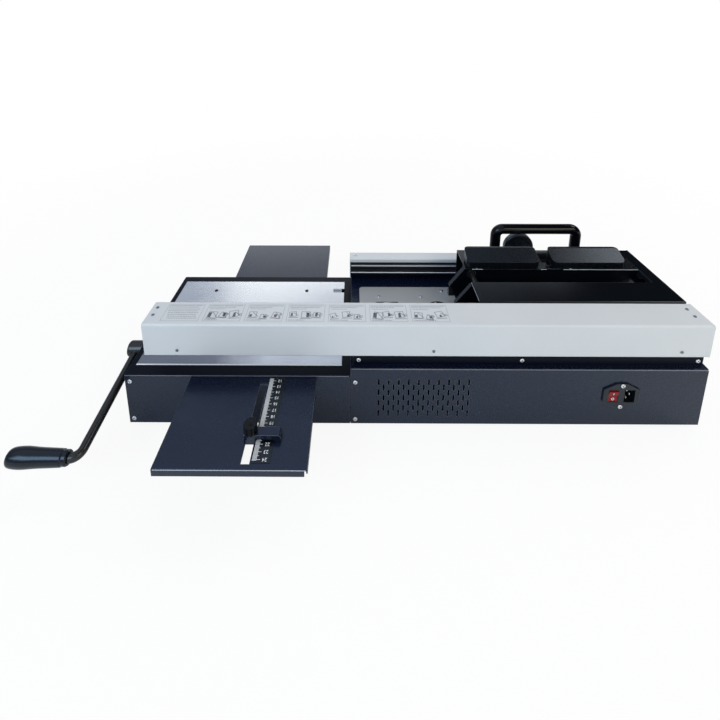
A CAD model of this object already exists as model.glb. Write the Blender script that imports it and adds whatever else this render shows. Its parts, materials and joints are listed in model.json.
# %% [markdown]
# # A desktop hot melt binding machine
# The machine is a long black sheet metal body with a pale beam along its service side. A carriage with a
# book clamp slides along that beam, past a milling cutter and a glue roller, to a nipping station that a
# side lever works. The shapes come from CAD. What is left for Blender is what a maker would call finishing:
# powder coat, paint, brushed steel, printed marks and the small screws.

import json
import math

import bmesh
import bpy
from mathutils import Matrix, Vector


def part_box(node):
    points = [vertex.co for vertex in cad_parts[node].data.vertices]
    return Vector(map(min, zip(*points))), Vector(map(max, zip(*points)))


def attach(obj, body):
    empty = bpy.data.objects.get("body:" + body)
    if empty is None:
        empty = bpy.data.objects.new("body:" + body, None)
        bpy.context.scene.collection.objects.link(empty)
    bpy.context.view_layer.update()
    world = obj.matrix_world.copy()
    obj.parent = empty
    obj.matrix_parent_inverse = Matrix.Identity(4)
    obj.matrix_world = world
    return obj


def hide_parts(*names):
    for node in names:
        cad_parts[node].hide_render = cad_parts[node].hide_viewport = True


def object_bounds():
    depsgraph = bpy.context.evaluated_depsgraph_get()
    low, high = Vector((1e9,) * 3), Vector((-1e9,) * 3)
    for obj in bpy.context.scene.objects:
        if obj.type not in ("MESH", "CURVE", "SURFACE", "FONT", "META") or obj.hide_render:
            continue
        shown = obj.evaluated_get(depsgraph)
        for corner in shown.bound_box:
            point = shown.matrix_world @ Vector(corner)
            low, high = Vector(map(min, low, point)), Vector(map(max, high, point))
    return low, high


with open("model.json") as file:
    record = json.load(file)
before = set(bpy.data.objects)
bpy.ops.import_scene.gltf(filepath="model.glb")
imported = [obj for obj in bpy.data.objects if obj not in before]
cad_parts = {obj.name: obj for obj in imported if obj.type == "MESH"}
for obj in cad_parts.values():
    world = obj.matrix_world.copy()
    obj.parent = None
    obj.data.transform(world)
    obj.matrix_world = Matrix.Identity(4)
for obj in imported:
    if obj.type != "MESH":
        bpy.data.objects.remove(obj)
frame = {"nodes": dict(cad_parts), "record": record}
cad_low, cad_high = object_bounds()
print("pieces from CAD:", len(frame["nodes"]), "size:", [round(v, 3) for v in cad_high - cad_low])

# %% [markdown]
# ## One way of measuring
# A maker measures this body from one corner: where its two sections meet, on the service side, at the level
# of the nipping table. Every place below is given in millimetres from there. The corner is found on the rim
# of the nipping station, so the finishing pieces land on the metal whatever the model's own origin is.

# %% Places in millimetres
MM = 0.001
rim_low, rim_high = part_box("table_rim")
corner = Vector((rim_high[0], rim_low[1], rim_high[2]))


def at(x, y, z):
    """A place in the scene, from millimetres along, across and above the corner."""
    return corner + Vector((x, y, z)) * MM


print("corner of the body at", [round(v, 4) for v in corner])

# %% [markdown]
# ## One helper for nodes
# A material is a graph: textures on the left, a shader on the right, and wires between them. It can be drawn
# by hand in the node editor or written as code. Code is chosen here, because one recipe then serves every
# finish of the machine. This helper keeps that recipe short: it makes a node, sets its options, and fills
# each input with a number or with a wire from another node.

# %% Helper for one node
def add_node(tree, kind, inputs=None, **settings):
    """A node with its settings, and each input set to a number or joined to another node's output."""
    node = tree.nodes.new(kind)
    for key, value in settings.items():
        setattr(node, key, value)
    for socket, value in (inputs or {}).items():
        if isinstance(value, bpy.types.NodeSocket):
            tree.links.new(value, node.inputs[socket])
        else:
            node.inputs[socket].default_value = value
    return node


print("node helper ready")

# %% [markdown]
# ## Steps that come back
# Every finish is built from the same few steps: a noise, a sum, a change of range and a mix of two colours.
# Written out each time they would hide what a finish is made of. As small functions they read like a
# sentence, and each hands back the output that the next step needs.

# %% Helpers for the steps
def noise_value(tree, place, scale, detail):
    """The grey value of a noise pattern."""
    node = add_node(tree, "ShaderNodeTexNoise", {"Vector": place, "Scale": scale, "Detail": detail})
    return node.outputs["Fac"]


def sum_value(tree, operation, *numbers, clamped=False):
    """The result of a sum on numbers or node outputs, such as ADD or MULTIPLY."""
    node = add_node(tree, "ShaderNodeMath", dict(enumerate(numbers)), operation=operation, use_clamp=clamped)
    return node.outputs[0]


def map_value(tree, value, low, high, new_low=0.0, new_high=1.0):
    """A value moved from one range into another, and kept inside it."""
    node = add_node(tree, "ShaderNodeMapRange", {"Value": value, "From Min": low, "From Max": high,
                                                 "To Min": new_low, "To Max": new_high})
    return node.outputs["Result"]


def mix_colour(tree, amount, first, second):
    """Two colours mixed; each is a colour or a node's output."""
    node = add_node(tree, "ShaderNodeMix", data_type="RGBA")
    factor_input, first_input, second_input, colour_output = 0, 6, 7, 2
    for number, value in ((factor_input, amount), (first_input, first), (second_input, second)):
        if isinstance(value, bpy.types.NodeSocket):
            tree.links.new(value, node.inputs[number])
        else:
            node.inputs[number].default_value = value
    return node.outputs[colour_output]


def tone(colour, factor=1.0):
    """A colour made lighter or darker, with full cover."""
    return tuple(min(1.0, channel * factor) for channel in colour) + (1.0,)


print("step helpers ready")

# %% [markdown]
# ## The recipe of every finish
# A painted or brushed surface is never one colour: it has cloudy patches, a fine grain that scatters the
# light, and edges that hands and books have rubbed. The recipe lays all of these over a base colour: a large
# noise for the patches, a fine noise for grain in both roughness and relief, and the Bevel node, which knows
# how near an edge is, for the wear. The Bevel node also rounds the sharp CAD edges in the light, as bends
# and deburred cuts are rounded. A photograph of paint could be laid on instead, but it would stretch on the
# long pieces, and noise has no seams. Numbers that stay the same all over a piece, such as how metallic it
# is, are set on the shader itself.

# %% The recipe of a finish
EDGE_SAMPLES = 6
PATCH_DETAIL, GRAIN_DETAIL = 4.0, 3.0
NOISE_LOW, NOISE_HIGH = 0.3, 0.7
SPECKLE_LOW, SPECKLE_HIGH = 0.35, 0.65
SPECKLE_SHARE = 0.35
BEND_STARTS, BEND_FULL = 0.97, 0.8
COAT_ROUGHNESS = 0.2


def surface(name, colour, spread=0.15, roughness=0.4, rough_spread=0.06, grain=900.0, relief=0.15,
            depth=0.0002, metallic=0.0, stretch=(1, 1, 1), worn=None, wear=0.5, edge=0.0006, patch=9.0,
            coat=0.0, specular=0.5, tint=(1.0, 1.0, 1.0)):
    """A finish with patches, grain, relief and worn edges over one base colour."""
    material = bpy.data.materials.new(name)
    material.use_nodes = True
    tree = material.node_tree
    shader = tree.nodes["Principled BSDF"]
    place = add_node(tree, "ShaderNodeTexCoord").outputs["Object"]
    along = add_node(tree, "ShaderNodeMapping", {"Vector": place, "Scale": stretch}).outputs["Vector"]
    patches = noise_value(tree, place, patch, PATCH_DETAIL)
    fine = noise_value(tree, along, grain, GRAIN_DETAIL)
    dark, light = tone(colour, 1 - spread), tone(colour, 1 + spread)
    cloudy = map_value(tree, patches, NOISE_LOW, NOISE_HIGH)
    speckle = map_value(tree, fine, SPECKLE_LOW, SPECKLE_HIGH)
    base = mix_colour(tree, SPECKLE_SHARE, mix_colour(tree, cloudy, dark, light),
                      mix_colour(tree, speckle, dark, light))
    bevel = add_node(tree, "ShaderNodeBevel", {"Radius": edge}, samples=EDGE_SAMPLES).outputs["Normal"]
    flat = add_node(tree, "ShaderNodeNewGeometry").outputs["Normal"]
    bend = add_node(tree, "ShaderNodeVectorMath", {0: bevel, 1: flat}, operation="DOT_PRODUCT")
    rubbed = map_value(tree, bend.outputs["Value"], BEND_STARTS, BEND_FULL, 0.0, wear)
    uneven = sum_value(tree, "MULTIPLY", rubbed, cloudy)
    tree.links.new(mix_colour(tree, uneven, base, tone(worn or colour)), shader.inputs["Base Color"])
    rough = map_value(tree, fine, NOISE_LOW, NOISE_HIGH, roughness - rough_spread, roughness + rough_spread)
    smears = map_value(tree, patches, NOISE_LOW, NOISE_HIGH, -rough_spread / 2, rough_spread / 2)
    tree.links.new(sum_value(tree, "ADD", rough, smears, clamped=True), shader.inputs["Roughness"])
    bump = add_node(tree, "ShaderNodeBump", {"Strength": relief, "Distance": depth, "Height": fine,
                                             "Normal": bevel})
    tree.links.new(bump.outputs["Normal"], shader.inputs["Normal"])
    shader.inputs["Metallic"].default_value = metallic
    shader.inputs["Coat Weight"].default_value = coat
    shader.inputs["Coat Roughness"].default_value = COAT_ROUGHNESS
    shader.inputs["Specular IOR Level"].default_value = specular
    shader.inputs["Specular Tint"].default_value = tone(tint)
    return material


print("finish recipe ready")

# %% [markdown]
# ## Powder coat, paint and plastics
# The body is black powder coat with a slight orange peel, almost navy in cold light, and its edges show a
# little grey where the coat is thin. The beams are a pale grey satin paint. Hoods over the clamp are the
# same black, but smoother. The feet are rubber, which scatters light broadly. All the blacks have so little
# colour of their own that their look is nearly all sheen, so the sheen is tinted a little blue where the
# real paint looks cold.

# %% Painted and moulded finishes
COLD_SHEEN = (0.74, 0.86, 1.0)
finishes = {
    "black_paint": surface("black_powder_coat", (0.004, 0.007, 0.021), spread=0.12, roughness=0.25,
                           grain=650.0, relief=0.08, worn=(0.3, 0.32, 0.37), wear=0.9, edge=0.0009,
                           tint=COLD_SHEEN),
    "white_paint": surface("pale_satin_paint", (0.60, 0.62, 0.65), spread=0.03, roughness=0.42,
                           grain=800.0, relief=0.08, worn=(0.82, 0.83, 0.85), wear=0.8, edge=0.001),
    "rubber_black": surface("foot_rubber", (0.005, 0.0055, 0.008), spread=0.25, roughness=0.3,
                            rough_spread=0.05, grain=1100.0, relief=0.3, worn=(0.06, 0.06, 0.065)),
    "black_plastic": surface("matte_moulding", (0.004, 0.005, 0.008), spread=0.2, roughness=0.34,
                             grain=1400.0, relief=0.2, worn=(0.1, 0.1, 0.11), tint=COLD_SHEEN),
    "gloss_black": surface("smooth_black_hood", (0.003, 0.004, 0.006), spread=0.2, roughness=0.26,
                           grain=900.0, relief=0.1, worn=(0.16, 0.17, 0.19), wear=0.3, edge=0.0008,
                           tint=COLD_SHEEN),
    "red_plastic": surface("red_rocker", (0.2, 0.004, 0.006), spread=0.15, roughness=0.22, grain=1200.0,
                           relief=0.06, worn=(0.5, 0.08, 0.08), specular=0.2),
    "grey_plastic": surface("grey_moulding", (0.2, 0.21, 0.23), spread=0.08, roughness=0.42, grain=1300.0,
                            relief=0.2, worn=(0.3, 0.31, 0.33)),
}
print("painted finishes:", ", ".join(finishes))

# %% [markdown]
# ## Bare metals
# The nipping plates are brushed stainless: very fine lines run along them. Real scratches could be modelled,
# but there are thousands. Stretching the noise about eightyfold along one direction draws them all, and a
# little relief makes them catch light across the brushing. Zinc, aluminium, bronze and chrome differ in
# colour, grain and gloss. The rails are anodised and the rods are oxidised, which turns them black and still
# lets them shine like metal.

# %% Metal finishes
finishes.update({
    "bright_steel": surface("brushed_stainless", (0.84, 0.87, 0.9), spread=0.04, roughness=0.19,
                            rough_spread=0.04, metallic=1.0, stretch=(0.012, 1, 1), grain=1500.0,
                            relief=0.03, worn=(0.95, 0.95, 0.95)),
    "plain_steel": surface("zinc_plate", (0.5, 0.51, 0.52), spread=0.16, roughness=0.38, metallic=1.0,
                           grain=260.0, relief=0.06, worn=(0.75, 0.75, 0.76), patch=30.0),
    "chrome_trim": surface("polished_chrome", (0.76, 0.77, 0.78), spread=0.04, roughness=0.12,
                           rough_spread=0.03, metallic=1.0, grain=500.0, relief=0.02,
                           worn=(0.9, 0.9, 0.9)),
    "rail_aluminium": surface("turned_aluminium", (0.62, 0.63, 0.64), spread=0.07, roughness=0.34,
                              metallic=1.0, stretch=(1, 0.03, 1), grain=900.0, relief=0.1,
                              worn=(0.85, 0.85, 0.86)),
    "bronze": surface("bearing_bronze", (0.5, 0.33, 0.15), spread=0.12, roughness=0.35, metallic=1.0,
                      grain=700.0, relief=0.08, worn=(0.7, 0.5, 0.25)),
})
rail_black = surface("black_anodised_rail", (0.02, 0.022, 0.028), spread=0.2, roughness=0.3,
                     rough_spread=0.05, metallic=0.3, stretch=(0.012, 1, 1), grain=1200.0, relief=0.1,
                     worn=(0.4, 0.41, 0.43), wear=0.7)
rod_black = surface("black_oxide_rod", (0.02, 0.021, 0.024), spread=0.2, roughness=0.35, metallic=0.6,
                    grain=900.0, relief=0.06, worn=(0.2, 0.2, 0.21))
print("shared finishes:", len(finishes))

# %% [markdown]
# ## Blacks of single pieces
# The machine's blacks differ more in shine than in colour. The carriage is glossier than the body, the push
# handle and the stop's knob are polished, the strips under the beam are dull, and the lever is a satin black
# tube with a polished grip. One black for all would make them melt together. What differs is mostly how
# rough the surface is and how strongly it mirrors, so those values change from one to the next.

# %% Blacks of single pieces
carriage_black = surface("glossy_carriage_black", (0.002, 0.003, 0.005), spread=0.2, roughness=0.13,
                         rough_spread=0.03, grain=700.0, relief=0.06, worn=(0.3, 0.32, 0.36), wear=0.9,
                         edge=0.0008, tint=COLD_SHEEN)
handle_black = surface("polished_handle_black", (0.002, 0.0025, 0.004), spread=0.2, roughness=0.06,
                       rough_spread=0.02, grain=700.0, relief=0.03, specular=0.2)
dull_black = surface("dull_black", (0.002, 0.003, 0.008), spread=0.2, roughness=0.4, grain=650.0,
                     relief=0.15, worn=(0.25, 0.27, 0.31), wear=0.8, edge=0.0008, specular=0.1,
                     tint=COLD_SHEEN)
grip_black = surface("polished_grip_black", (0.003, 0.0035, 0.006), spread=0.2, roughness=0.2,
                     rough_spread=0.04, grain=1100.0, relief=0.12, specular=0.4, tint=COLD_SHEEN)
arm_black = surface("satin_arm_black", (0.006, 0.0062, 0.0066), spread=0.2, roughness=0.3, grain=700.0,
                    relief=0.12, worn=(0.2, 0.21, 0.22), wear=0.5)
print("single blacks ready")

# %% [markdown]
# ## Steel beside the glue
# Two steel surfaces are not as bright as the rest. The plate over the glue pot is satin, so it scatters the
# light instead of mirroring it. The near nipping plate looks stained at its left end, as if glue had been
# wiped off there again and again, and stays bright further on. The stain is the same brushed steel with a
# darker colour mixed in by the place along the plate. A second material with a cut between the two would show
# a hard border. This way the border is soft, and a noise makes it uneven.

# %% Finishes beside the glue
satin_steel = surface("satin_steel", (0.44, 0.45, 0.46), spread=0.03, roughness=0.45, metallic=0.5,
                      grain=900.0, relief=0.03, worn=(0.7, 0.7, 0.72))
STAIN_BORDER_X, BORDER_HALF = -165.0, 45.0
STAIN_COLOUR = (0.32, 0.34, 0.38, 1)
STAIN_GRAIN, RAGGED_REACH = 25.0, 0.05


def stained_steel():
    """Brushed stainless whose left end is dull."""
    material = finishes["bright_steel"].copy()
    material.name = "stained_stainless"
    tree = material.node_tree
    shader = tree.nodes["Principled BSDF"]
    clean = shader.inputs["Base Color"].links[0].from_socket
    place = add_node(tree, "ShaderNodeTexCoord").outputs["Object"]
    along = add_node(tree, "ShaderNodeSeparateXYZ", {0: place}).outputs["X"]
    ragged = noise_value(tree, place, STAIN_GRAIN, GRAIN_DETAIL)
    border = sum_value(tree, "MULTIPLY_ADD", ragged, RAGGED_REACH, along)
    border_starts = at(STAIN_BORDER_X - BORDER_HALF, 0.0, 0.0).x
    border_ends = at(STAIN_BORDER_X + BORDER_HALF, 0.0, 0.0).x
    polished = map_value(tree, border, border_starts, border_ends)
    tree.links.new(mix_colour(tree, polished, STAIN_COLOUR, clean), shader.inputs["Base Color"])
    return material


print("stain fades out over", 2 * BORDER_HALF, "mm")

# %% [markdown]
# ## Which piece gets which finish
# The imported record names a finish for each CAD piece, so the finishes can be handed out in one loop instead
# of by hand, one object after another. Some pieces have a finish of their own. The rails are anodised
# black, and only their rubbed lips are bright. The rods and bushes inside the book slot are blackened.

# %% Hand out the finishes
own_finish = {"slide_rails": rail_black, "push_handle": handle_black, "stop_knob": handle_black,
              "near_nip_plate": stained_steel(), "lever_grip": grip_black, "lever_arm": arm_black,
              "pot_cover_plate": satin_steel}
own_finish.update({name: rod_black for name in ("jaw_guide_rods", "jaw_bushes")})
own_finish.update({name: carriage_black for name in ("carriage_deck", "fixed_jaw", "moving_jaw")})
own_finish.update({name: dull_black for name in ("beam_pedestal", "table_rim", "front_beam_bracket")})
slot_of = {row["node"]: row["material_slot"] for row in frame["record"]["subparts"]}
for node_name, piece in frame["nodes"].items():
    finish = own_finish.get(node_name, finishes[slot_of[node_name]])
    piece.data.materials.clear()
    piece.data.materials.append(finish)
print("finished CAD pieces:", len(slot_of))

# %% [markdown]
# ## Building small pieces
# Marks and small hardware could be modelled by hand, but there are many alike, so they are drawn by code.
# bmesh is Blender's sketch pad for meshes: points and faces are added to it, and the result becomes an
# object. Each is drawn at its real spot and joined to the body that carries it, so it moves when that body
# moves. One helper keeps these steps together, and three smaller ones draw a flat face, find the plane that
# a piece sits on, and go around a circle in equal steps.

# %% Helpers for small pieces
def mesh_piece(name, draw, materials, body, smooth=False):
    """Draw a mesh, give it its materials and let it ride on a body."""
    sketch = bmesh.new()
    draw(sketch)
    mesh = bpy.data.meshes.new(name)
    sketch.to_mesh(mesh)
    sketch.free()
    for material in materials:
        mesh.materials.append(material)
    for face in mesh.polygons:
        face.use_smooth = smooth
    piece = bpy.data.objects.new(name, mesh)
    bpy.context.scene.collection.objects.link(piece)
    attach(piece, body)
    print(name, "faces:", len(mesh.polygons), "rides on", body)
    return piece


def flat_patch(sketch, points, material=0):
    """One flat face through the given places."""
    face = sketch.faces.new([sketch.verts.new(point) for point in points])
    face.material_index = material
    return face


def across_and_up(outward):
    """Two directions in the plane that a piece sits on, given the way it faces."""
    up = Vector((0, 0, 1)) if abs(outward.z) < 0.9 else Vector((0, 1, 0))
    across = up.cross(outward).normalized()
    return across, outward.cross(across).normalized()


def step_angle(step, steps):
    """The angle after some of the equal steps around a circle."""
    return 2 * math.pi * step / steps


near_side, far_side, top_side = Vector((0, -1, 0)), Vector((0, 1, 0)), Vector((0, 0, 1))
print("piece helpers ready")

# %% [markdown]
# ## Screw heads
# Small cross recessed screws hold the covers. From afar they are glints with a dark cross, and a plain disc
# would look painted on. A cross could be cut out of a dome with a boolean, but that often leaves ragged faces
# on such a small piece. Here the head is a polar grid from the start: rings of points whose height follows a
# dome, and drops where the cross is. The cross gets a darker material, because dirt and shade live there.

# %% Screw metals and one ring of points
HEAD_STEPS = 40
CROSS_HALF, CROSS_REACH, CROSS_DEPTH = 0.12, 0.55, 0.65
DOME_DROP = 0.45
screw_zinc = surface("screw_zinc", (0.72, 0.73, 0.75), spread=0.1, roughness=0.25, metallic=1.0,
                     grain=900.0, relief=0.05, worn=(0.9, 0.9, 0.9), edge=0.0002)
screw_shade = surface("recess_shade", (0.08, 0.08, 0.09), spread=0.2, roughness=0.6, grain=900.0)
screw_dull = surface("screw_dull", (0.22, 0.23, 0.25), spread=0.15, roughness=0.4, metallic=1.0,
                     grain=900.0, relief=0.05, edge=0.0002)


def screw_ring(sketch, centre, plane, outward, turn, share, radius, height):
    """One ring of the head: its points, each with whether the cross is cut there."""
    across, up = plane
    ring = []
    for step in range(HEAD_STEPS):
        angle = step_angle(step, HEAD_STEPS)
        u, v = share * math.cos(angle + turn), share * math.sin(angle + turn)
        crossed = min(abs(u), abs(v)) < CROSS_HALF and max(abs(u), abs(v)) < CROSS_REACH
        level = height * (1.0 - DOME_DROP * share ** 4) - (CROSS_DEPTH * height if crossed else 0.0)
        reach = (across * math.cos(angle) + up * math.sin(angle)) * share * radius
        ring.append((sketch.verts.new(centre + (reach + outward * level) * MM), crossed))
    return ring


print("points in a ring:", HEAD_STEPS)

# %% [markdown]
# ## One whole head
# The rings grow from the middle to the rim, a single point closes the middle, and a last ring at the foot
# gives the head its side. Faces are laid between each ring and the next. A face belongs to the cross when at
# least two of its corners do. A row of heads is then only a list of places, and each head is turned a little
# further than the last, since nobody lines screws up.

# %% Draw one screw head
HEAD_RINGS, HUB_LEVEL = 12, 0.35
TURN_STEP = 0.7


def screw_head(sketch, centre, outward, turn, radius, height=1.7):
    """A domed head with a cross recess, on a polar grid."""
    plane = across_and_up(outward)
    rings = [screw_ring(sketch, centre, plane, outward, turn, ring / HEAD_RINGS, radius, height)
             for ring in range(1, HEAD_RINGS + 1)]
    hub = sketch.verts.new(centre + outward * HUB_LEVEL * height * MM)
    foot = screw_ring(sketch, centre, plane, outward, turn, 1.0, radius, 0.0)
    for step in range(HEAD_STEPS):
        after = (step + 1) % HEAD_STEPS
        face = sketch.faces.new((hub, rings[0][step][0], rings[0][after][0]))
        face.material_index = 1
        for inner, outer in zip(rings, rings[1:]):
            corners = (inner[step], outer[step], outer[after], inner[after])
            face = sketch.faces.new([vertex for vertex, crossed in corners])
            face.material_index = 1 if sum(crossed for vertex, crossed in corners) >= 2 else 0
        sketch.faces.new((rings[-1][step][0], foot[step][0], foot[after][0], rings[-1][after][0]))


def draw_screws(places, radius):
    """A drawing of one head at each place, each turned differently."""
    def draw(sketch):
        for number, (x, y, z, outward) in enumerate(places):
            screw_head(sketch, at(x, y, z), outward, turn=TURN_STEP * number, radius=radius)
    return draw


print("points of one screw head:", HEAD_RINGS * HEAD_STEPS)

# %% [markdown]
# ## Screws of the case
# The screws stand in rows and columns, as a sheet metal worker sets them: in pairs along the side panels,
# three along the pedestal, five on the plate over the pot, two on the short beam, two on the inlet, and four
# around the control panel. They could be typed in one by one, but loops over rows and columns keep them in
# line. The CAD model has plain heads for its case screws, and these dressed ones take their place.

# %% Lay the case screws
CASE_SCREW_RADIUS = 3.6
body_far = 256.0
left_column, joint_column, right_column = -357.0, 8.0, 565.0
side_rows = (-12.0, -84.0)
pedestal_columns, pedestal_y, pedestal_z = (13.5, 277.0, 559.5), 8.0, 23.0
pot_plate_spots, pot_plate_z = ((56, 171), (139, 171), (184, 190), (29, 74), (196, 74)), 15.5
short_beam_columns, short_beam_y, short_beam_z = (9.0, 561.0), 243.0, 62.0
inlet_x, inlet_face, inlet_rows = 438.0, -2.6, (-54.5, -14.5)
panel_columns, panel_face, panel_rows = (256.0, 464.0), 258.0, (-60.0, -16.0)
case_screws = [(x, 0.0, z, near_side) for x in (left_column, joint_column) for z in side_rows]
case_screws += [(x, body_far, z, far_side) for x in (left_column, right_column) for z in side_rows]
case_screws += [(x, pedestal_y, pedestal_z, near_side) for x in pedestal_columns]
case_screws += [(x, y, pot_plate_z, top_side) for x, y in pot_plate_spots]
case_screws += [(x, short_beam_y, short_beam_z, top_side) for x in short_beam_columns]
case_screws += [(inlet_x, inlet_face, z, near_side) for z in inlet_rows]
case_screws += [(x, panel_face, z, far_side) for x in panel_columns for z in panel_rows]
case_heads = mesh_piece("case_screw_heads", draw_screws(case_screws, CASE_SCREW_RADIUS),
                        (screw_zinc, screw_shade), "machine", smooth=True)
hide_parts("case_screws")

# %% [markdown]
# ## Screws of the long beam
# The pale beam shows smaller and darker screws: three low on its side and two on top at each end. They need
# no drawing of their own, because the same one serves with a smaller radius and a duller metal.

# %% Lay the beam screws
BEAM_SCREW_RADIUS = 2.3
BEAM_FACE, BEAM_TOP = 3.4, 91.0
beam_side_columns, beam_side_z = (-277.0, 133.0, 527.0), 44.0
beam_top_columns, beam_top_rows = (-321.0, 557.0), (25.0, 42.0)
beam_screws = [(x, BEAM_FACE, beam_side_z, near_side) for x in beam_side_columns]
beam_screws += [(x, y, BEAM_TOP, top_side) for x in beam_top_columns for y in beam_top_rows]
mesh_piece("beam_screw_heads", draw_screws(beam_screws, BEAM_SCREW_RADIUS), (screw_dull, screw_shade),
           "machine", smooth=True)

# %% [markdown]
# ## Screws of the ledges
# The hoods stand on ledges that are screwed to the moving jaw, so those screws travel with the jaw. They are
# small and low, which is why they have their own radius and height.

# %% Draw the ledge screws
LEDGE_TOP, LEDGE_SCREW_Y = 93.1, 150.6
LEDGE_SCREW_RADIUS, LEDGE_SCREW_HEIGHT = 1.5, 0.9
FIRST_LEDGE_TURN = 0.4
ledge_screw_columns = (241.0, 419.0)


def draw_ledge_screws(sketch):
    """One small head on each ledge."""
    for number, x in enumerate(ledge_screw_columns):
        screw_head(sketch, at(x, LEDGE_SCREW_Y, LEDGE_TOP), top_side, turn=FIRST_LEDGE_TURN + number,
                   radius=LEDGE_SCREW_RADIUS, height=LEDGE_SCREW_HEIGHT)


mesh_piece("ledge_screw_heads", draw_ledge_screws, (screw_zinc, screw_shade), "clamp",
           smooth=True)

# %% [markdown]
# ## Studs of the nipping plates
# Each bright plate is held by two studs whose dark heads show on top: a low disc with a hexagon in it. A
# lathe profile, turned in steps around the middle, gives the disc. The hexagon is the same profile's inner
# end, with its reach bent to six flats, so no separate cut is needed.

# %% Draw the stud heads
stud_black = surface("black_oxide_stud", (0.03, 0.03, 0.033), spread=0.2, roughness=0.4, metallic=0.7,
                     grain=900.0, worn=(0.2, 0.2, 0.2), edge=0.0002)
STUD_STEPS = 24
STUD_RADIUS, STUD_HEIGHT, STUD_RIM, STUD_CHAMFER = 3.6, 0.8, 0.5, 0.4
HEXAGON_SHARE, HEXAGON_FOOT_SHARE, HEXAGON_FLOOR = 0.55, 0.5, 0.1
stud_columns, far_stud_row, near_stud_row = (-283.0, -93.0), 210.0, 50.0
disc_profile = [(STUD_RADIUS, 0.0), (STUD_RADIUS, STUD_RIM), (STUD_RADIUS - STUD_CHAMFER, STUD_HEIGHT)]
hexagon_profile = [(STUD_RADIUS * HEXAGON_SHARE, STUD_HEIGHT),
                   (STUD_RADIUS * HEXAGON_FOOT_SHARE, HEXAGON_FLOOR)]


def stud_head(sketch, centre):
    """A low disc with a chamfered rim and a sunk hexagon."""
    half_flat = math.pi / 6
    loops = []
    for reach, level in disc_profile + hexagon_profile:
        loop = []
        for step in range(STUD_STEPS):
            angle = step_angle(step, STUD_STEPS)
            flat_reach = reach * math.cos(half_flat) / math.cos(angle % (2 * half_flat) - half_flat)
            bent = flat_reach if (reach, level) in hexagon_profile else reach
            place = Vector((bent * math.cos(angle), bent * math.sin(angle), level))
            loop.append(sketch.verts.new(centre + place * MM))
        loops.append(loop)
    for inner, outer in zip(loops[1:], loops):
        for step in range(STUD_STEPS):
            after = (step + 1) % STUD_STEPS
            sketch.faces.new((outer[step], outer[after], inner[after], inner[step]))
    sketch.faces.new(loops[-1])


def draw_studs(row):
    """A drawing of the two studs in one row."""
    def draw(sketch):
        for x in stud_columns:
            stud_head(sketch, at(x, row, 0.0))
    return draw


mesh_piece("far_stud_heads", draw_studs(far_stud_row), (stud_black,), "far_nip")
mesh_piece("near_stud_heads", draw_studs(near_stud_row), (stud_black,), "near_nip")

# %% [markdown]
# ## Numbers as meshes
# The scale needs numbers. They could be a picture laid on the strip, but that would blur up close. Blender's
# own text, turned into a flat mesh, stays crisp at any size. A text is made as a curve first, evaluated into
# a mesh, and the curve is thrown away.

# %% Helpers for numbers
def text_mesh(words, size):
    """The flat mesh of a short text, centred on its own middle."""
    curve = bpy.data.curves.new("words", type="FONT")
    curve.body = words
    curve.size = size * MM
    curve.align_x = "CENTER"
    curve.align_y = "CENTER"
    holder = bpy.data.objects.new("words", curve)
    bpy.context.scene.collection.objects.link(holder)
    bpy.context.view_layer.update()
    mesh = bpy.data.meshes.new_from_object(holder.evaluated_get(bpy.context.evaluated_depsgraph_get()))
    bpy.data.objects.remove(holder)
    bpy.data.curves.remove(curve)
    return mesh


def add_text(sketch, words, size, placing):
    """Text joined to a sketch at a placing, a matrix from the text's plane to the scene."""
    mesh = text_mesh(words, size)
    mesh.transform(placing)
    sketch.from_mesh(mesh)
    bpy.data.meshes.remove(mesh)


print("text helpers ready")

# %% [markdown]
# ## The scale beside the stop
# White lines a millimetre apart are printed on a black strip, with a longer line and a number at every
# centimetre. The numbers run from 12 beside the body to 24 at the outer edge. They stand upright for the
# operator, on the far side, so this view shows them upside down. Lines are thin flat patches just above the
# strip, close enough to read as ink and high enough that the two surfaces never flicker into each other.

# %% Print the scale
print_white = surface("print_white", (0.85, 0.86, 0.88), spread=0.05, roughness=0.5, grain=1500.0,
                      relief=0.05, edge=0.00005)
SCALE_TOP, PRINT_LIFT = -1.4, 0.06
SCALE_LEFT, LINE_HALF = -128.0, 0.25
LONG_LINE, MIDDLE_LINE, SHORT_LINE = 10.5, 8.0, 6.2
CENTIMETRE, HALF_CENTIMETRE = 10, 5
NUMBER_X, NUMBER_SIZE, FIRST_NUMBER_Y = -111.5, 6.6, -8.6
numbers = range(12, 25)
scale_lines = range(-4, 122)


def draw_scale(sketch):
    """A line for each millimetre and a number for each centimetre."""
    level = SCALE_TOP + PRINT_LIFT
    half_turn = Matrix.Rotation(math.pi, 4, "Z")
    for step in scale_lines:
        y = FIRST_NUMBER_Y - step
        length = MIDDLE_LINE if step % HALF_CENTIMETRE == 0 else SHORT_LINE
        length = LONG_LINE if step % CENTIMETRE == 0 else length
        near, far, right = y - LINE_HALF, y + LINE_HALF, SCALE_LEFT + length
        flat_patch(sketch, [at(SCALE_LEFT, near, level), at(right, near, level), at(right, far, level),
                            at(SCALE_LEFT, far, level)])
    for place, number in enumerate(numbers):
        placing = Matrix.Translation(at(NUMBER_X, FIRST_NUMBER_Y - CENTIMETRE * place, level)) @ half_turn
        add_text(sketch, str(number), NUMBER_SIZE, placing)


mesh_piece("scale_print", draw_scale, (print_white,), "machine")

# %% [markdown]
# ## Ribbons of ink
# Along the top of the pale beam runs a faint row of framed working steps. Each line of it is a thin flat
# ribbon a hair above the paint. A ribbon helper turns a run of places into such a line, and small shapes are
# built from ribbons: a frame, a ring, and a row of dashes that reads as small print from afar.

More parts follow.
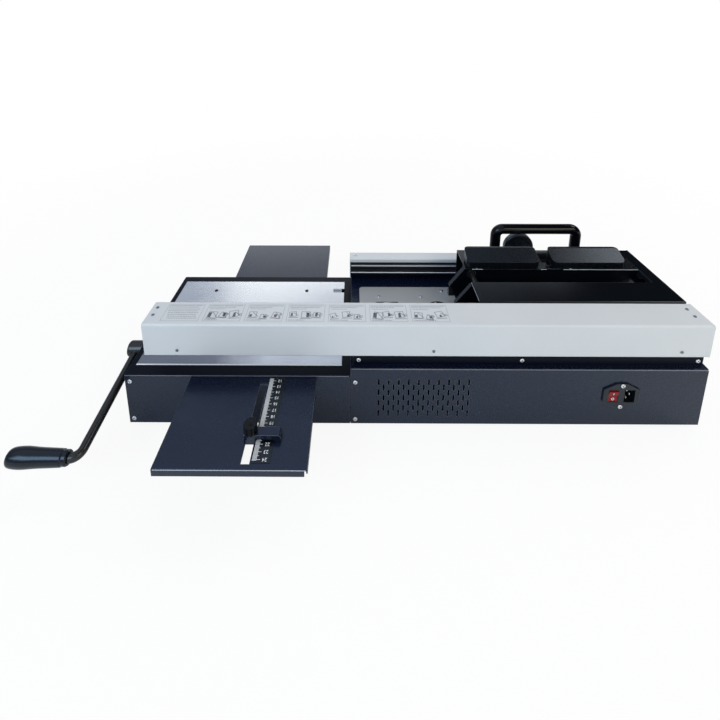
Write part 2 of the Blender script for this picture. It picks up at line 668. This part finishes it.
# %% Helpers for ink
ink_grey = surface("soft_grey_ink", (0.26, 0.27, 0.3), spread=0.12, roughness=0.5, grain=1500.0,
                   relief=0.02, edge=0.00005)
ink_dark = surface("dark_ink", (0.1, 0.1, 0.12), spread=0.15, roughness=0.5, grain=1500.0, relief=0.02,
                   edge=0.00005)
RING_STEPS = 16
DASH_START, DASH_GROWTH, DASH_GAP = 1.4, 0.5, 0.9


def ribbon(sketch, points, width):
    """A thin flat line on the beam's top through the given places."""
    for (x0, y0), (x1, y1) in zip(points, points[1:]):
        run = Vector((x1 - x0, y1 - y0)).normalized() * width / 2
        corners = [(x0 - run.y, y0 + run.x), (x0 + run.y, y0 - run.x), (x1 + run.y, y1 - run.x),
                   (x1 - run.y, y1 + run.x)]
        flat_patch(sketch, [at(x, y, BEAM_TOP + PRINT_LIFT) for x, y in corners])


def box_points(left, near, width, depth):
    """The corners of a frame, back to the first."""
    right, far = left + width, near + depth
    return [(left, near), (right, near), (right, far), (left, far), (left, near)]


def ring_points(x, y, radius):
    """Places around a ring, back to the first."""
    angles = [step_angle(step, RING_STEPS) for step in range(RING_STEPS + 1)]
    return [(x + radius * math.cos(angle), y + radius * math.sin(angle)) for angle in angles]


def word_row(sketch, left, right, y, seed, weight):
    """A row of short dashes of uneven length."""
    x, step = left, 0
    while x < right:
        length = DASH_START + (seed * 7 + step * 5) % 6 * DASH_GROWTH
        ribbon(sketch, [(x, y), (min(x + length, right), y)], weight)
        x += length + DASH_GAP
        step += 1


print("ink helpers ready")

# %% [markdown]
# ## Drawings for the frames
# Most frames hold small drawings of a book being worked on. They are of a maker's own kind: a tilted block on
# a bar, with dark pages, an arrow and mostly a ring. Drawing each by hand would take a list of points for
# every one. Here a seed changes the size, the lean and the place of the pages, so no two neighbours are
# alike, and the same seed gives the same drawing in every run.

# %% Helper for the drawings
BOOK_LINE, BAR_LINE, ARROW_LINE, RING_LINE = 1.1, 1.3, 1.2, 1.0
BOOK_START, BOOK_GROWTH, BOOK_LEAN = 9.0, 1.6, 1.6
BAR_DROP, BAR_START, BAR_OVERHANG = 2.0, 2.0, 3.0
RING_OFFSET, RING_RADIUS = 2.5, 2.0
PAGE_GAP, PAGE_SHARE, PAGE_GROWTH = 1.0, 0.5, 0.3


def small_drawing(sketch, x, y, seed):
    """A tilted book on a bar, with dark pages and an arrow, as a working step."""
    size = BOOK_START + seed * 5 % 4 * BOOK_GROWTH
    lean = (seed * 2 % 5 - 2) * BOOK_LEAN
    base = y + seed * 3 % 4
    top, right = base + size, x + size
    ribbon(sketch, [(x, base), (right, base + lean), (right - lean, top + lean), (x - lean, top), (x, base)],
           BOOK_LINE)
    left, width = x + seed % 3 * size / 4 + PAGE_GAP, size / 3
    foot, page_top = base + PAGE_GAP, base + size * (PAGE_SHARE + seed % 2 * PAGE_GROWTH)
    pages = [(left, foot), (left + width, foot + lean / 2),
             (left + width - lean / 2, page_top + PAGE_GAP), (left, page_top)]
    flat_patch(sketch, [at(u, v, BEAM_TOP + PRINT_LIFT) for u, v in pages], material=1)
    bar = base - BAR_DROP
    ribbon(sketch, [(x - BAR_START, bar), (right + BAR_OVERHANG, bar + lean / 3)], BAR_LINE)
    if seed % 3:
        ribbon(sketch, ring_points(right + RING_OFFSET, base + size / 2, RING_RADIUS), RING_LINE)
    ribbon(sketch, [(x + size / 2, top - PAGE_GAP), (right + BAR_OVERHANG, foot + lean)], ARROW_LINE)


print("drawing helper ready")

# %% [markdown]
# ## Sketches on the beam
# Seven plain frames stand in a row, from near the left end to just past the middle of the beam. All start
# with two rows of small print. The first goes on with more rows, the others with a caption, three drawings
# and a last row. One flat picture could carry all of this, but meshes stay sharp, and a loop that walks along
# the beam keeps the frames evenly spaced and hands each drawing its seed.

# %% Print the framed sketches
frame_left, frame_pitch, frame_width = -304.0, 67.2, 60.0
frame_near, frame_far, FRAME_LINE, FRAME_COUNT = 12.0, 50.0, 0.45, 7
FIRST_ROW_Y, SECOND_ROW_Y, ROW_LEFT = 47.4, 43.8, 2
FIRST_ROW_RIGHT, SECOND_ROW_RIGHT, SECOND_ROW_STEP = 3, 8, 6
TEXT_ROWS, TEXT_TOP_Y, TEXT_PITCH, TEXT_LEFT, TEXT_RIGHT = 6, 39.0, 4.2, 3, 4
CAPTION_Y, CAPTION_LEFT, CAPTION_RIGHT = 40.0, 4, 30
DRAWING_COUNT, DRAWING_Y, DRAWING_LEFT, DRAWING_PITCH = 3, 19.0, 4.5, 18.5
LAST_ROW_Y, LAST_ROW_LEFT, LAST_ROW_RIGHT, LAST_ROW_GROWTH = 14.6, 3, 20, 3
INK_WIDTH, THIN_INK, BOLD_INK = 1.2, 1.0, 1.3


def draw_text_frame(sketch, left, right):
    """The rows of small print in the first frame."""
    for row in range(TEXT_ROWS):
        row_y = TEXT_TOP_Y - row * TEXT_PITCH
        word_row(sketch, left + TEXT_LEFT + row, right - TEXT_RIGHT - row * 3 % 5, row_y, row + 1, INK_WIDTH)


def draw_step_frame(sketch, left, number):
    """A caption, three drawings and a last row."""
    word_row(sketch, left + CAPTION_LEFT, left + CAPTION_RIGHT, CAPTION_Y, number + 1, THIN_INK)
    for place in range(DRAWING_COUNT):
        small_drawing(sketch, left + DRAWING_LEFT + place * DRAWING_PITCH, DRAWING_Y, number * 3 + place * 2)
    last_right = left + LAST_ROW_RIGHT + number * LAST_ROW_GROWTH
    word_row(sketch, left + LAST_ROW_LEFT, last_right, LAST_ROW_Y, number, BOLD_INK)


def draw_sketches(sketch):
    """The row of frames."""
    for number in range(FRAME_COUNT):
        left = frame_left + number * frame_pitch
        right = left + frame_width
        second_right = right - SECOND_ROW_RIGHT - number % 3 * SECOND_ROW_STEP
        ribbon(sketch, box_points(left, frame_near, frame_width, frame_far - frame_near), FRAME_LINE)
        word_row(sketch, left + ROW_LEFT, right - FIRST_ROW_RIGHT, FIRST_ROW_Y, number, INK_WIDTH)
        word_row(sketch, left + ROW_LEFT, second_right, SECOND_ROW_Y, number + 3, INK_WIDTH)
        if number == 0:
            draw_text_frame(sketch, left, right)
        else:
            draw_step_frame(sketch, left, number)


mesh_piece("beam_sketch_print", draw_sketches, (ink_grey, ink_dark), "machine")

# %% [markdown]
# ## Rubbed lips of the far rail
# The carriage's shoe runs between the lips of the rail, and keeps their edges bright. The wear in the recipe
# would lighten all edges alike, so these two are laid on: long thin strips with a shallow crown, one on each
# lip, which catch the light as those edges do.

# %% Lay the bright strips
rubbed_metal = surface("rubbed_edge", (0.93, 0.94, 0.95), spread=0.03, roughness=0.35,
                       stretch=(0.01, 1, 1), grain=1200.0, relief=0.05, coat=1.0)
RAIL_FACE, RAIL_LEFT, RAIL_RIGHT = 222.0, 0.0, 569.0
CROWN_SHOULDER, SHOULDER_RISE, CROWN_RISE = 0.15, 0.12, 0.18
lips = ((50.2, 51.8), (34.8, 36.4))


def crowned_strip(sketch, low, high):
    """A long strip with a low crown on the rail's face."""
    rows = [(low, 0.0), (low + CROWN_SHOULDER, SHOULDER_RISE), ((low + high) / 2, CROWN_RISE),
            (high - CROWN_SHOULDER, SHOULDER_RISE), (high, 0.0)]
    for (z0, out0), (z1, out1) in zip(rows, rows[1:]):
        near0, near1 = RAIL_FACE - out0, RAIL_FACE - out1
        flat_patch(sketch, [at(RAIL_LEFT, near0, z0), at(RAIL_RIGHT, near0, z0),
                            at(RAIL_RIGHT, near1, z1), at(RAIL_LEFT, near1, z1)])


def draw_rail_strips(sketch):
    """One strip on each lip."""
    for low, high in lips:
        crowned_strip(sketch, low, high)


mesh_piece("rail_bright_lips", draw_rail_strips, (rubbed_metal,), "machine", smooth=True)

# %% [markdown]
# ## Bright edges
# Folded and cut edges lose their coat first, so a machine like this one is drawn by thin light lines: along
# the near nipping plate, along the folds of the body, on the sloped ends of the jaws, and on the ledges under
# the hoods. Each line is a slim ribbon laid on the metal beside its edge. Steel that shows fully is nearly
# white, and thin paint is only a lighter grey. The lines could be painted on the mesh by hand as well, but a
# ribbon keeps its width in millimetres.

# %% Helpers for bright edges
thin_coat = surface("thin_coat", (0.16, 0.175, 0.21), spread=0.1, roughness=0.35, grain=900.0, relief=0.03)
fold_coat = surface("fold_coat", (0.42, 0.44, 0.5), spread=0.1, roughness=0.3, grain=900.0, relief=0.03)
bare_edge = surface("bare_edge", (0.95, 0.96, 0.98), spread=0.02, roughness=0.4, grain=900.0, relief=0.02,
                    coat=1.0)
EDGE_LIFT = 0.06


def edge_line(sketch, start, end, facing, width):
    """A slim ribbon between two places, lying on a surface that faces one way."""
    first, last = at(*start), at(*end)
    side = (last - first).cross(facing).normalized() * width * MM / 2
    lift = facing.normalized() * EDGE_LIFT * MM
    flat_patch(sketch, [first - side + lift, last - side + lift, last + side + lift, first + side + lift])


def edge_piece(name, lines, material, body):
    """One piece with a ribbon for each line, given as start, end, facing and width."""
    def draw(sketch):
        for line in lines:
            edge_line(sketch, *line)
    return mesh_piece(name, draw, (material,), body)


print("edge helpers ready")

# %% [markdown]
# ## Edges of the plates and the body
# The near nipping plate's front edge is bare steel. Along the tops of the two side panels and the front fold
# of the near plate that carries the book's cover, the paint has worn thin. The first line rides on its plate
# and moves with it, and the others stay on the body, so they are separate pieces.

# %% Lay the plate and body edges
PLATE_LINE, FOLD_LINE, THIN_LINE, LEDGE_LINE = 2.4, 1.3, 1.0, 0.7
nip_left, nip_right, nip_edge_y = -355.6, -14.4, 21.2
left_section, left_fold_z = (-364.0, -2.0), -0.9
right_section, right_fold_z = (2.0, 571.0), 12.9
cover_plate, cover_fold_y, cover_fold_z = (-254.0, -56.0), -141.0, -3.0
nip_edge = ((nip_left, nip_edge_y, 0.0), (nip_right, nip_edge_y, 0.0), top_side, PLATE_LINE)
body_folds = [((left, 0.0, z), (right, 0.0, z), near_side, THIN_LINE)
              for (left, right), z in ((left_section, left_fold_z), (right_section, right_fold_z))]
cover_left, cover_right = cover_plate
cover_fold = ((cover_left, cover_fold_y, cover_fold_z), (cover_right, cover_fold_y, cover_fold_z), near_side,
              FOLD_LINE)
edge_piece("nip_plate_edge", [nip_edge], bare_edge, "near_nip")
edge_piece("body_fold_edges", body_folds, thin_coat, "machine")
edge_piece("cover_plate_fold", [cover_fold], fold_coat, "machine")

# %% [markdown]
# ## Edges of the carriage
# Both jaws end in a slope at the left, and a thin light line runs up each slope and along the deck's end. The
# ledges under the hoods show bare metal in three runs along their front. The fixed jaw's lines ride on the
# carriage, the others on the clamp, which moves against it. The same helper draws them all, with a tilted
# direction for the slopes.

# %% Lay the carriage edges
jaw_slope = Vector((-0.78, 0.0, 0.62))
slope_foot_x, slope_foot_z, deck_top = 190.4, 52.5, 90.4
fixed_jaw_y, fixed_top_x, fixed_top_z = 112.4, 218.7, 88.0
moving_jaw_y, moving_top_x = 154.6, 220.6
deck_end_x, deck_near_y, deck_far_y = 219.7, 62.5, 112.0
slope_line = ((slope_foot_x, fixed_jaw_y, slope_foot_z), (fixed_top_x, fixed_jaw_y, fixed_top_z), jaw_slope,
              THIN_LINE)
deck_line = ((deck_end_x, deck_near_y, deck_top), (deck_end_x, deck_far_y, deck_top), top_side, THIN_LINE)
jaw_line = ((slope_foot_x, moving_jaw_y, slope_foot_z), (moving_top_x, moving_jaw_y, deck_top), jaw_slope,
            THIN_LINE)
ledge_face, ledge_line_z = 149.0, 92.6
ledge_runs = ((231.0, 252.0), (362.0, 373.0), (405.0, 547.0))
ledge_lines = [((left, ledge_face, ledge_line_z), (right, ledge_face, ledge_line_z), near_side, LEDGE_LINE)
               for left, right in ledge_runs]
edge_piece("deck_edges", [slope_line, deck_line], thin_coat, "carriage")
edge_piece("jaw_edges", [jaw_line], thin_coat, "clamp")
edge_piece("ledge_edges", ledge_lines, rubbed_metal, "clamp")

# %% [markdown]
# ## Contacts of the power inlet
# The inlet's three contacts are bright metal tongues in a dark well. A plain box would do for each, but it
# would glint on one flat face only. So each tongue is three square loops of points, and the front loop is
# smaller, which takes the corners off its tip.

# %% Draw the contacts
contact_metal = surface("contact_nickel", (0.75, 0.74, 0.7), spread=0.08, roughness=0.25, metallic=1.0,
                        grain=900.0, relief=0.04, edge=0.0002)
socket_x, socket_z = 451.0, -34.5
TONGUE_FRONT, TONGUE_BACK, TIP_LENGTH, TIP_SHARE = 1.6, 17.5, 1.6, 0.55
TONGUE_HALF_X, TONGUE_HALF_Z = 1.15, 2.15
contact_offsets = ((2.5, 0.0), (-2.5, 7.0), (-2.5, -7.0))


def tongue(sketch, x, z):
    """A contact tongue with a tapered tip towards the service side."""
    loops = []
    for y, share in ((TONGUE_FRONT, TIP_SHARE), (TONGUE_FRONT + TIP_LENGTH, 1.0), (TONGUE_BACK, 1.0)):
        loops.append([sketch.verts.new(at(x + sx * TONGUE_HALF_X * share, y, z + sz * TONGUE_HALF_Z * share))
                      for sx, sz in ((-1, -1), (1, -1), (1, 1), (-1, 1))])
    sketch.faces.new(loops[0])
    for first, second in zip(loops, loops[1:]):
        for step in range(4):
            after = (step + 1) % 4
            sketch.faces.new((first[after], first[step], second[step], second[after]))


def draw_contacts(sketch):
    """The three tongues in their well."""
    for dx, dz in contact_offsets:
        tongue(sketch, socket_x + dx, socket_z + dz)


mesh_piece("inlet_contacts", draw_contacts, (contact_metal,), "machine")

# %% [markdown]
# ## Marks on the rockers
# Both rockers carry the usual stroke and ring for on and off. A flat sticker would cut into them, because a
# rocker's face is a shallow valley that is tilted at rest. So the marks are placed in the rocker's own
# measures, follow the valley, and are turned by that tilt. They ride on the rocker and tip with it.

# %% Draw the rocker marks
ROCKER_TILT = math.radians(6.0)
VALLEY_RISE, VALLEY_SLOPE, MARK_LIFT = 4.8, 1.4 / 9.9, 0.12
STROKE_HALF, STROKE_LOW, STROKE_HIGH = 0.6, 3.2, 7.2
MARK_RING_V, MARK_RING_OUTER, MARK_RING_INNER, MARK_RING_STEPS = -5.2, 2.3, 1.5, 20


def rocker_marks(centre_x, pivot_y, pivot_z, way):
    """A drawing of the stroke and the ring, just above the two halves of the rocker's valley."""
    def on_face(u, v):
        rise = VALLEY_RISE + VALLEY_SLOPE * abs(v) + MARK_LIFT
        z = v * math.cos(ROCKER_TILT) - rise * math.sin(ROCKER_TILT)
        out = v * math.sin(ROCKER_TILT) + rise * math.cos(ROCKER_TILT)
        return at(centre_x + u, pivot_y + way * out, pivot_z + z)

    def draw(sketch):
        flat_patch(sketch, [on_face(u, v) for u, v in
                            ((-STROKE_HALF, STROKE_LOW), (STROKE_HALF, STROKE_LOW),
                             (STROKE_HALF, STROKE_HIGH), (-STROKE_HALF, STROKE_HIGH))])
        for step in range(MARK_RING_STEPS):
            corners = []
            for turn, radius in ((step, MARK_RING_OUTER), (step + 1, MARK_RING_OUTER),
                                 (step + 1, MARK_RING_INNER), (step, MARK_RING_INNER)):
                angle = step_angle(turn, MARK_RING_STEPS)
                corners.append(on_face(radius * math.cos(angle), MARK_RING_V + radius * math.sin(angle)))
            flat_patch(sketch, corners)
    return draw


power_marks = rocker_marks(centre_x=425.0, pivot_y=3.0, pivot_z=-34.5, way=-1)
motor_marks = rocker_marks(centre_x=430.0, pivot_y=255.0, pivot_z=-38.0, way=1)
mesh_piece("power_rocker_marks", power_marks, (print_white,), "power_key")
mesh_piece("motor_rocker_marks", motor_marks, (print_white,), "motor_key")

# %% [markdown]
# ## Temperature display
# On the operator's side a small controller shows the glue's temperature in red digits on dark glass. The
# window is a flat face with its corners cut. A real pane in front of real lamps would be the thorough way,
# but the glass is so dark that only its sheen shows, so one glossy, nearly black face is enough.

# %% Lay the window
display_glass = surface("display_glass", (0.012, 0.004, 0.004), spread=0.1, roughness=0.1,
                        rough_spread=0.02, grain=400.0, relief=0.01, coat=0.5)
GLASS_Y = 259.35
GLASS_LEFT, GLASS_RIGHT, GLASS_LOW, GLASS_HIGH, GLASS_CORNER = 295.3, 344.7, -40.7, -25.3, 0.8


def draw_glass(sketch):
    """The window, with its four corners cut."""
    left, right, low, high, cut = GLASS_LEFT, GLASS_RIGHT, GLASS_LOW, GLASS_HIGH, GLASS_CORNER
    window = [(left + cut, low), (right - cut, low), (right, low + cut), (right, high - cut),
              (right - cut, high), (left + cut, high), (left, high - cut), (left, low + cut)]
    flat_patch(sketch, [at(x, GLASS_Y, z) for x, z in window])


mesh_piece("display_glass", draw_glass, (display_glass,), "machine")

# %% [markdown]
# ## Red digits
# Such a display builds every figure from seven slim segments, and lights only some of them. Text would be
# quicker, but its shapes would give it away. So the lit segments are drawn, each as a slim hexagon between
# two corners of the figure, with a small gap at both ends.

# %% Draw the digits
digit_red = surface("digit_red", (0.85, 0.05, 0.03), spread=0.05, roughness=0.4, grain=900.0, relief=0.01)
DIGIT_LIFT, SHOWN_DEGREES = 0.08, "170"
FIRST_DIGIT_X, DIGIT_PITCH, DIGIT_Z, DIGIT_SCALE = 331.0, 10.5, -33.0, 2.4
SEGMENT_HALF, SEGMENT_GAP, SEGMENT_TIP = 0.42, 0.3, 0.4
segments = {"a": ((-1, 2), (1, 2)), "b": ((1, 2), (1, 0)), "c": ((1, 0), (1, -2)), "d": ((-1, -2), (1, -2)),
            "e": ((-1, 0), (-1, -2)), "f": ((-1, 2), (-1, 0)), "g": ((-1, 0), (1, 0))}
lit = {"1": "bc", "7": "abc", "0": "abcdef"}


def draw_digit(sketch, figure, middle_x):
    """One figure, seen from the operator's side, so that +X runs to the left."""
    for name in lit[figure]:
        (x0, z0), (x1, z1) = segments[name]
        start, end = Vector((-x0, z0)) * DIGIT_SCALE, Vector((-x1, z1)) * DIGIT_SCALE
        run = (end - start).normalized()
        side = Vector((-run.y, run.x)) * SEGMENT_HALF
        start, end = start + run * SEGMENT_GAP, end - run * SEGMENT_GAP
        near_start, near_end = start + run * SEGMENT_TIP, end - run * SEGMENT_TIP
        shape = [start, near_start + side, near_end + side, end, near_end - side, near_start - side]
        flat_patch(sketch, [at(middle_x + p.x, GLASS_Y + DIGIT_LIFT, DIGIT_Z + p.y) for p in shape])


def draw_digits(sketch):
    """The temperature in degrees."""
    for place, figure in enumerate(SHOWN_DEGREES):
        draw_digit(sketch, figure, FIRST_DIGIT_X - place * DIGIT_PITCH)


mesh_piece("display_digits", draw_digits, (digit_red,), "machine")

# %% [markdown]
# ## Paper for the floor
# The machine stands on plain white, as on a sweep of paper. A plane that only catches shadows could do it
# too, but then the picture would have to be laid over white afterwards. So the floor is a shader of two
# halves. One is lit as any paper is: the machine's soft shadow falls on it, and light bounces from it. The
# other shines plain white, and only the camera and mirrored or see-through rays can meet it. Near the machine
# the camera sees mostly the second half and a share of the first, which keeps the shadow faint. Further out
# the second half takes over, and the floor runs into the background without an edge.

# %% Mix the floor's paper
NEAR_WHITE = 0.9
BLEND_STARTS, BLEND_ENDS = 0.75, 1.7
PAPER_GRAIN, PAPER_DARK, PAPER_LIGHT = 40.0, (0.9, 0.9, 0.9, 1), (0.93, 0.93, 0.93, 1)
WHITE = (1, 1, 1, 1)


def floor_paper():
    """White paper that is lit near the machine and plain white further out."""
    material = bpy.data.materials.new("studio_floor")
    material.use_nodes = True
    tree = material.node_tree
    tree.nodes.clear()
    place = add_node(tree, "ShaderNodeTexCoord").outputs["Object"]
    reach = add_node(tree, "ShaderNodeVectorMath", {0: place}, operation="LENGTH").outputs["Value"]
    path = add_node(tree, "ShaderNodeLightPath")
    near_share = map_value(tree, path.outputs["Is Camera Ray"], 0.0, 1.0, 0.0, NEAR_WHITE)
    white_share = map_value(tree, reach, BLEND_STARTS, BLEND_ENDS, near_share, 1.0)
    grain = map_value(tree, noise_value(tree, place, PAPER_GRAIN, GRAIN_DETAIL), NOISE_LOW, NOISE_HIGH)
    paper = mix_colour(tree, grain, PAPER_DARK, PAPER_LIGHT)
    lit_paper = add_node(tree, "ShaderNodeBsdfDiffuse", {"Color": paper}).outputs[0]
    white = add_node(tree, "ShaderNodeEmission", {"Color": WHITE, "Strength": 1.0}).outputs[0]
    seen = sum_value(tree, "MAXIMUM", path.outputs["Is Camera Ray"], path.outputs["Is Glossy Ray"])
    seen = sum_value(tree, "MAXIMUM", seen, path.outputs["Is Transmission Ray"])
    share = sum_value(tree, "MULTIPLY", seen, white_share)
    blend = add_node(tree, "ShaderNodeMixShader", {0: share, 1: lit_paper, 2: white})
    output = add_node(tree, "ShaderNodeOutputMaterial")
    tree.links.new(blend.outputs[0], output.inputs["Surface"])
    return material


print("paper turns plain white from", BLEND_STARTS, "to", BLEND_ENDS, "m")

# %% [markdown]
# ## The floor
# The floor is one large disc just under the feet. A square would do, but a disc ends equally far from the
# machine in every view. It is marked as stage, because it belongs to the picture and not to the machine.

# %% Lay the floor
FLOOR_RADIUS, FLOOR_STEPS, FLOOR_GAP = 6.0, 96, 0.0005
floor_level = cad_low.z


def lay_floor():
    """A large round floor just under the feet."""
    sketch = bmesh.new()
    bmesh.ops.create_circle(sketch, cap_ends=True, segments=FLOOR_STEPS, radius=FLOOR_RADIUS)
    mesh = bpy.data.meshes.new("studio_floor")
    sketch.to_mesh(mesh)
    sketch.free()
    mesh.materials.append(floor_paper())
    floor = bpy.data.objects.new("studio_floor", mesh)
    floor.location = (0.0, 0.0, floor_level - FLOOR_GAP)
    bpy.context.scene.collection.objects.link(floor)


lay_floor()
print("floor laid at", round(floor_level, 4))

# %% [markdown]
# ## The room in the reflections
# Shiny black sheet shows the room more than itself. A picture of a real studio could stand around it, but a
# few gradients give control over each border. The reflected room is a white wall up to about thirty seven
# degrees, higher at the left than at the right. It greys a little towards its top and stops at both ends.
# Above it and past its ends is a ceiling, grey at the left, nearly black at the right, and brighter overhead.
# The flat tops mirror the ceiling or the wall by where they lie, and that draws their dark and pale halves.

# %% Build the reflected room
WALL_HEIGHT, WALL_TILT, WALL_BORDER = 0.6, 0.2, 0.015
WALL_LEFT, LEFT_BORDER = -0.26, 0.01
WALL_RIGHT, RIGHT_BORDER = 0.43, 0.02
WALL_FADE, WALL_TOP_COLOUR = 0.1, (0.8, 0.83, 0.88, 1)
OVERHEAD_STARTS, OVERHEAD_FULL, OVERHEAD_FACTOR = 0.70, 0.76, 2.0
CEILING_DARKENS, CEILING_BLACK = 0.05, 0.36
CEILING_GREY, CEILING_DARK = (0.36, 0.4, 0.48), (0.02, 0.02, 0.02, 1)


def reflected_room(tree):
    """What reflections see: a white wall below a ceiling that darkens to the right."""
    direction = add_node(tree, "ShaderNodeTexCoord").outputs["Generated"]
    split = add_node(tree, "ShaderNodeSeparateXYZ", {0: direction})
    sideways, upward = split.outputs["X"], split.outputs["Z"]
    height = sum_value(tree, "MULTIPLY_ADD", sideways, WALL_TILT, upward)
    wall = map_value(tree, height, WALL_HEIGHT - WALL_BORDER, WALL_HEIGHT + WALL_BORDER, 1.0, 0.0)
    starts = map_value(tree, sideways, WALL_LEFT - LEFT_BORDER, WALL_LEFT + LEFT_BORDER)
    stops = map_value(tree, sideways, WALL_RIGHT - RIGHT_BORDER, WALL_RIGHT + RIGHT_BORDER, 1.0, 0.0)
    wall = sum_value(tree, "MULTIPLY", sum_value(tree, "MULTIPLY", wall, starts), stops)
    wall_fade = map_value(tree, height, WALL_HEIGHT - WALL_FADE, WALL_HEIGHT, 1.0, 0.0)
    wall_colour = mix_colour(tree, wall_fade, WALL_TOP_COLOUR, WHITE)
    overhead = map_value(tree, upward, OVERHEAD_STARTS, OVERHEAD_FULL)
    lit_side = mix_colour(tree, overhead, tone(CEILING_GREY), tone(CEILING_GREY, OVERHEAD_FACTOR))
    darkened = map_value(tree, sideways, CEILING_DARKENS, CEILING_BLACK)
    ceiling = mix_colour(tree, darkened, lit_side, CEILING_DARK)
    return mix_colour(tree, wall, ceiling, wall_colour)


print("wall height in degrees:", round(math.degrees(math.asin(WALL_HEIGHT)), 1))

# %% [markdown]
# ## The world
# The world answers each ray by its kind. A camera ray gets plain white, the background of the picture. A
# mirrored ray gets the room. All other rays get an even grey light that fills the shadows. One plain colour
# for all would be simpler, but then every black top would mirror white.

# %% Set the world
AMBIENT = 0.4


def make_world():
    """White for the camera, the room for reflections, and an even soft light for the rest."""
    world = bpy.data.worlds.new("studio")
    bpy.context.scene.world = world
    world.use_nodes = True
    tree = world.node_tree
    tree.nodes.clear()
    path = add_node(tree, "ShaderNodeLightPath")
    seen = sum_value(tree, "MAXIMUM", path.outputs["Is Camera Ray"], path.outputs["Is Transmission Ray"])
    soft_light = tone((AMBIENT, AMBIENT, AMBIENT))
    lighting = mix_colour(tree, path.outputs["Is Glossy Ray"], soft_light, reflected_room(tree))
    colour = mix_colour(tree, seen, lighting, WHITE)
    background = add_node(tree, "ShaderNodeBackground", {"Color": colour, "Strength": 1.0})
    output = add_node(tree, "ShaderNodeOutputWorld")
    tree.links.new(background.outputs[0], output.inputs["Surface"])


make_world()
print("world set")

# %% [markdown]
# ## The lamps
# A sun or small spots would draw hard shadows, so the lamps are large rectangles. One stands high at the
# front left and is cool, one at the front right and is warm, which turns the pale beam from bluish to neutral
# along its length. One high over the right end draws the sheen on the right hood, and a wide one behind
# lights the far plates. The last hangs overhead and lights the tops evenly. It is hidden from reflections,
# where it would show as a white patch in the black deck.

# %% Set the lamps
MIDDLE, RIGHT_HOOD, FAR_PLATES = (0.0, 0.0, 0.15), (0.4, 0.1, 0.2), (-0.2, 0.2, 0.1)
COOL, WARM, PALE, NEUTRAL = (0.58, 0.79, 1.0), (1.0, 0.92, 0.72), (0.97, 0.98, 1.0), (1.0, 1.0, 1.0)


def softbox(name, place, target, size, power, colour):
    """A rectangular lamp that faces a target."""
    data = bpy.data.lights.new(name, type="AREA")
    data.shape = "RECTANGLE"
    data.size, data.size_y = size
    data.energy = power
    data.color = colour
    lamp = bpy.data.objects.new(name, data)
    lamp.location = place
    lamp.rotation_euler = (Vector(target) - Vector(place)).to_track_quat("-Z", "Y").to_euler()
    lamp.visible_camera = False
    bpy.context.scene.collection.objects.link(lamp)
    return lamp


softbox("front_left_box", place=(-1.5, -1.9, 1.7), target=MIDDLE, size=(1.6, 1.2), power=37.0, colour=COOL)
softbox("front_right_box", place=(1.7, -1.8, 1.4), target=MIDDLE, size=(1.4, 1.2), power=21.0, colour=WARM)
softbox("right_top_box", place=(1.9, 0.5, 1.9), target=RIGHT_HOOD, size=(1.0, 1.0), power=12.0,
        colour=NEUTRAL)
softbox("back_box", place=(-0.5, 2.5, 1.15), target=FAR_PLATES, size=(1.5, 0.6), power=5.0, colour=PALE)
overhead_box = softbox("overhead_box", place=(0.2, 0.3, 2.6), target=MIDDLE, size=(2.0, 1.6), power=9.0,
                       colour=NEUTRAL)
overhead_box.visible_glossy = False

# %% [markdown]
# ## Camera
# The picture was taken from the service side, a little above the machine, with a wide lens held nearly
# level and shifted down, so the uprights stay almost upright. Tilting the camera down instead would make
# them lean together. Shift is the lens's own rise and fall: it moves the picture without tilting the camera.

# %% Place the camera
PICTURE = 720
SENSOR_WIDTH, NEAREST_SEEN = 36.0, 0.01
focal_pixels, shift_right_pixels, shift_down = 420.66, 8.0, 0.36
camera_place = at(5.56, -569.64, 574.16)
PITCH, YAW = math.radians(12.04), math.radians(0.28)
camera_data = bpy.data.cameras.new("camera")
camera_data.sensor_width = SENSOR_WIDTH
camera_data.lens = focal_pixels / PICTURE * camera_data.sensor_width
camera_data.shift_x = shift_right_pixels / PICTURE
camera_data.shift_y = -shift_down
camera_data.clip_start = NEAREST_SEEN
camera = bpy.data.objects.new("camera", camera_data)
camera.location = camera_place
camera.rotation_euler = (math.radians(90) - PITCH, 0.0, YAW)
bpy.context.scene.collection.objects.link(camera)
bpy.context.scene.camera = camera
bpy.context.scene.view_settings.view_transform = "Standard"
print("lens", round(camera_data.lens, 2), "mm")
